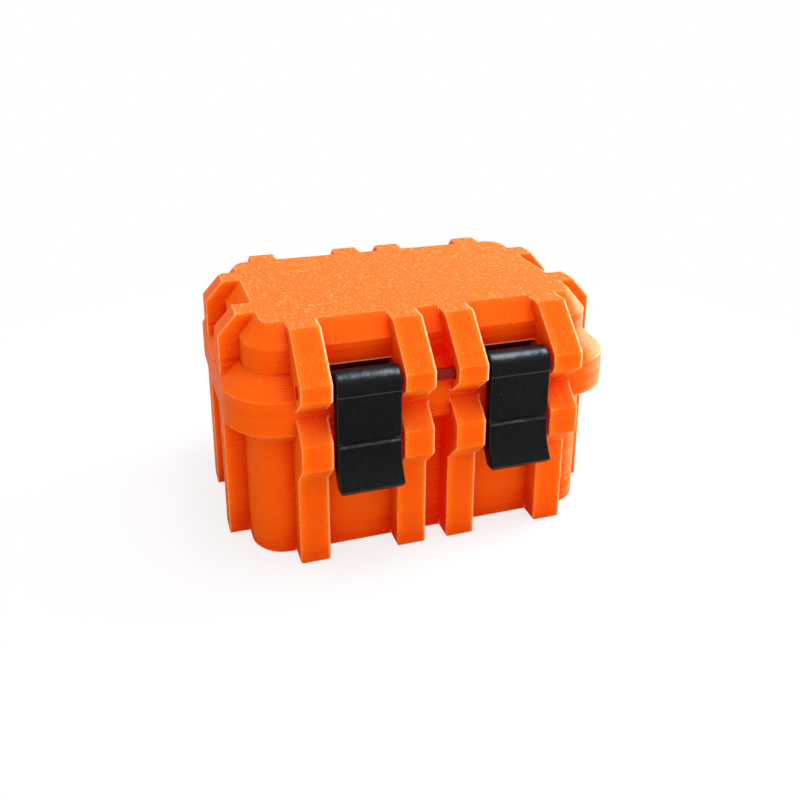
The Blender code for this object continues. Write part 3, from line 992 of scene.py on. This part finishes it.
def add_lamp(name, where, size, tone, strength):
    """A rectangular lamp that looks at the middle of the case."""
    middle = (loaded_low + loaded_high) / 2
    data = bpy.data.lights.new(name, "AREA")
    data.shape = "RECTANGLE"
    data.size, data.size_y = size
    data.energy = strength
    data.color = tone
    lamp = join_collection(bpy.data.objects.new(name, data))
    lamp.location = where
    lamp.rotation_mode = "QUATERNION"
    lamp.rotation_quaternion = (middle - Vector(where)).to_track_quat("-Z", "Y")
    return lamp


def shine_on(lamp, pieces):
    """Lets a lamp be seen only as a reflection, and only on the given pieces."""
    lamp.visible_diffuse = False
    lit = bpy.data.collections.new(f"{lamp.name}_pieces")
    for piece in pieces:
        lit.objects.link(bpy.data.objects[piece])
    lamp.light_linking.receiver_collection = lit


def add_camera(studio):
    """The camera, turned by where the picture's right and top sides are."""
    data = bpy.data.cameras.new("camera")
    data.sensor_width = film_width
    data.lens = studio.lens
    data.shift_y = studio.picture_shift
    data.clip_start = nearest_seen
    camera = join_collection(bpy.data.objects.new("camera", data))
    right = Vector(studio.camera_right).normalized()
    up = Vector(studio.camera_up)
    up = (up - right * up.dot(right)).normalized()
    turned = Matrix((right, up, right.cross(up))).transposed()
    camera.matrix_world = Matrix.Translation(studio.camera_place) @ turned.to_4x4()
    return camera


# Operators and panel


class CASE_OT_effects(bpy.types.Operator):
    """Builds the node groups that the plastics share"""

    bl_idname = "hard_case.effects"
    bl_label = "Shared Effects"

    def execute(self, context):
        build_layers_group()
        build_strokes_group()
        build_rims_group()
        build_specks_group()
        return {"FINISHED"}


class CASE_OT_shells(bpy.types.Operator):
    """Gives the base and the lid their printed orange skins"""

    bl_idname = "hard_case.shells"
    bl_label = "Shells"

    def execute(self, context):
        for node, body in (("base_shell", "base"), ("lid_shell", "lid")):
            skin = surface_from_frame(node, f"{node}_skin")
            wear(skin, orange_material(f"orange_{body}"))
            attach(skin, body)
            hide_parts(node)
        return {"FINISHED"}


class CASE_OT_latches(bpy.types.Operator):
    """Gives the two latches their black plastic"""

    bl_idname = "hard_case.latches"
    bl_label = "Latches"

    def execute(self, context):
        black = black_material("latch_black_plastic")
        for node in ("latch_left", "latch_right"):
            skin = surface_from_frame(node, f"{node}_skin")
            wear(skin, black)
            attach(skin, node)
            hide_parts(node)
        return {"FINISHED"}


class CASE_OT_rods(bpy.types.Operator):
    """Gives the latch rod and the hinge rod their dark plastic"""

    bl_idname = "hard_case.rods"
    bl_label = "Rods"

    def execute(self, context):
        dark = rod_material("dark_rod_plastic")
        for node, body in (("latch_rod", "lid"), ("hinge_rod", "base")):
            skin = surface_from_frame(node, f"{node}_skin")
            wear(skin, dark)
            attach(skin, body)
            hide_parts(node)
        return {"FINISHED"}


class CASE_OT_stage(bpy.types.Operator):
    """Makes the floor, the room, the lamps and the camera"""

    bl_idname = "hard_case.stage"
    bl_label = "Stage"

    def execute(self, context):
        studio = context.scene.case_studio
        floor = add_floor(studio.floor_size)
        wear(floor, floor_material(studio.floor_white))
        build_world(studio.room_light)
        for name, where, size, tone, setting in LAMPS:
            add_lamp(name, where, size, tone, getattr(studio, setting))
        shine_on(bpy.data.objects["sheen_lamp"], ("latch_left_skin", "latch_right_skin"))
        context.scene.camera = add_camera(studio)
        context.scene.view_settings.view_transform = "Standard"
        return {"FINISHED"}


class CASE_PT_panel(bpy.types.Panel):
    """Lists the case's settings and its building steps"""

    bl_idname = "CASE_PT_panel"
    bl_label = "Hard Case"
    bl_space_type = "VIEW_3D"
    bl_region_type = "UI"
    bl_category = "Hard Case"

    def draw(self, context):
        for field, label, group in SETTINGS:
            box = self.layout.box()
            box.label(text=label)
            for setting in group.__annotations__:
                box.prop(getattr(context.scene, field), setting)
        for operator in OPERATORS:
            self.layout.operator(operator.bl_idname)


OPERATORS = (CASE_OT_effects, CASE_OT_shells, CASE_OT_latches, CASE_OT_rods, CASE_OT_stage)
SETTINGS = (
    ("case_print", "Printing", PrintSettings),
    ("case_shell", "Shells", ShellSettings),
    ("case_latch", "Latches", LatchSettings),
    ("case_rod", "Rods", RodSettings),
    ("case_studio", "Studio", StudioSettings),
)


def register():
    for field, label, group in SETTINGS:
        bpy.utils.register_class(group)
        setattr(bpy.types.Scene, field, bpy.props.PointerProperty(type=group, name=label))
    for operator in OPERATORS:
        bpy.utils.register_class(operator)
    bpy.utils.register_class(CASE_PT_panel)


def unregister():
    bpy.utils.unregister_class(CASE_PT_panel)
    for operator in reversed(OPERATORS):
        bpy.utils.unregister_class(operator)
    for field, _, group in reversed(SETTINGS):
        delattr(bpy.types.Scene, field)
        bpy.utils.unregister_class(group)


def main():
    register()
    bpy.ops.hard_case.effects()
    bpy.ops.hard_case.shells()
    bpy.ops.hard_case.latches()
    bpy.ops.hard_case.rods()
    bpy.ops.hard_case.stage()


if __name__ == "__main__":
    main()
